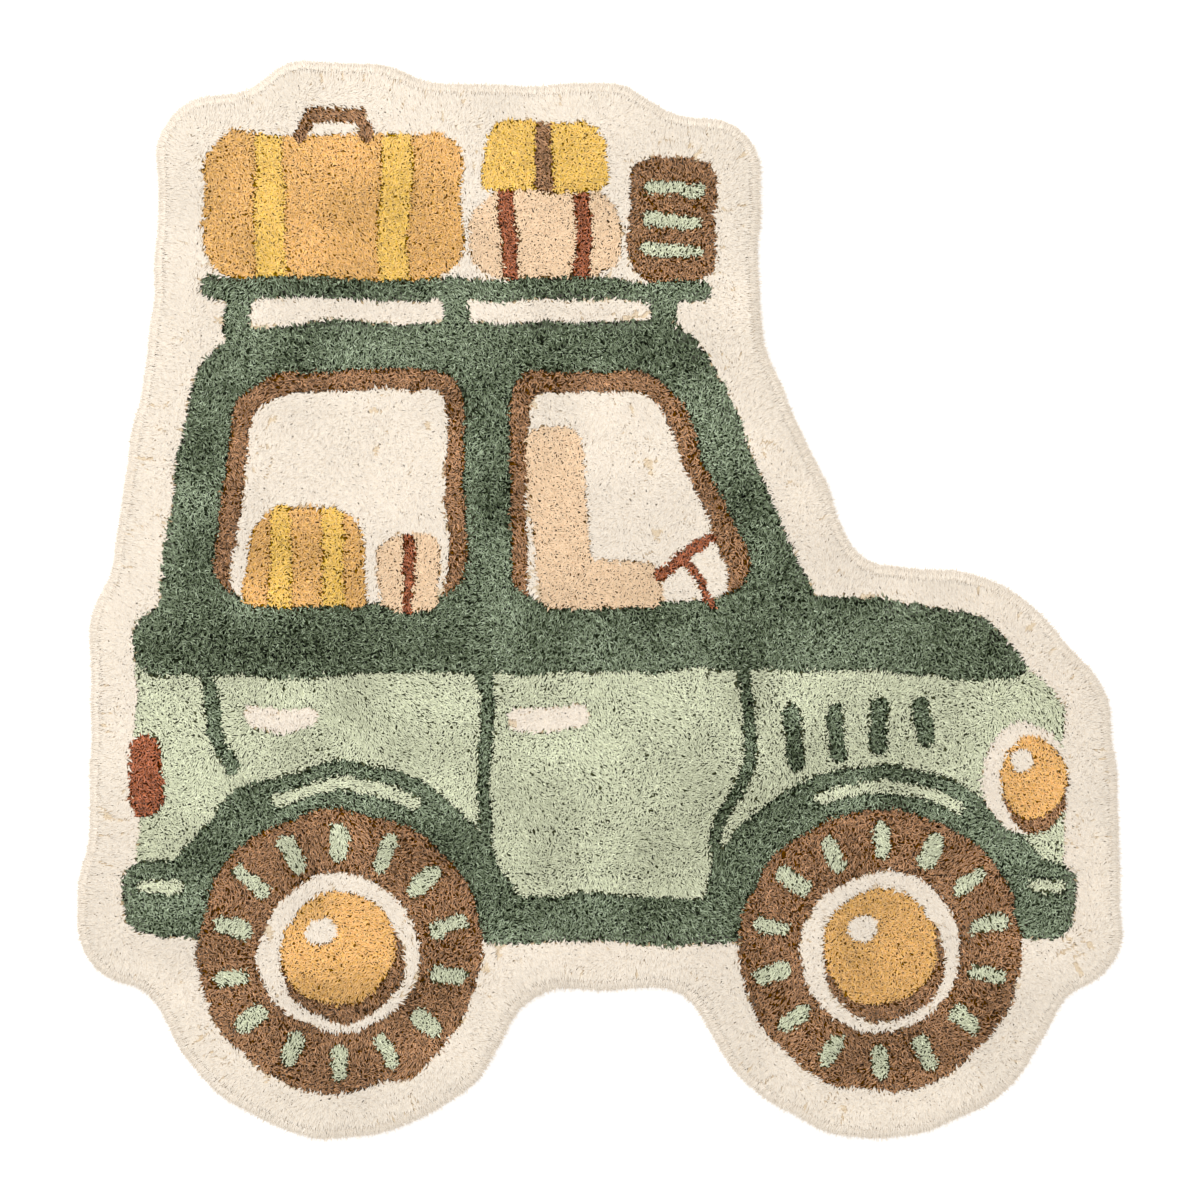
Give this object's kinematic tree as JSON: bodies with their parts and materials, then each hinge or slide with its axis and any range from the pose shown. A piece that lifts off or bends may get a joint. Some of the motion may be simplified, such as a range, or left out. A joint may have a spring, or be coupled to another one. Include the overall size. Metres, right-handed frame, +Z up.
{
  "type": "car play mat",
  "caption": "Flat tufted cotton play mat for the floor, cut to the outline of a toy-like car with roof luggage, with a plain border, a rolled pile edge and an uneven cut pile.",
  "frame": {"origin": "middle of the mat's plan, on the floor that it lies on", "axes": "+Z up, out of the pile; +Y towards the car's roof; +X towards the car's front"},
  "size_m": [1.0518, 1.0854, 0.0179],
  "materials": {
    "cream_yarn": "cut pile, matt",
    "forest_yarn": "cut pile, matt",
    "sage_yarn": "cut pile, matt",
    "ochre_yarn": "cut pile, matt",
    "yellow_yarn": "cut pile, matt",
    "peach_yarn": "cut pile, matt",
    "brown_yarn": "cut pile, matt",
    "rust_yarn": "cut pile, matt"
  },
  "bodies": {
    "root": {"mat": "cream_yarn"}
  },
  "joints": []
}
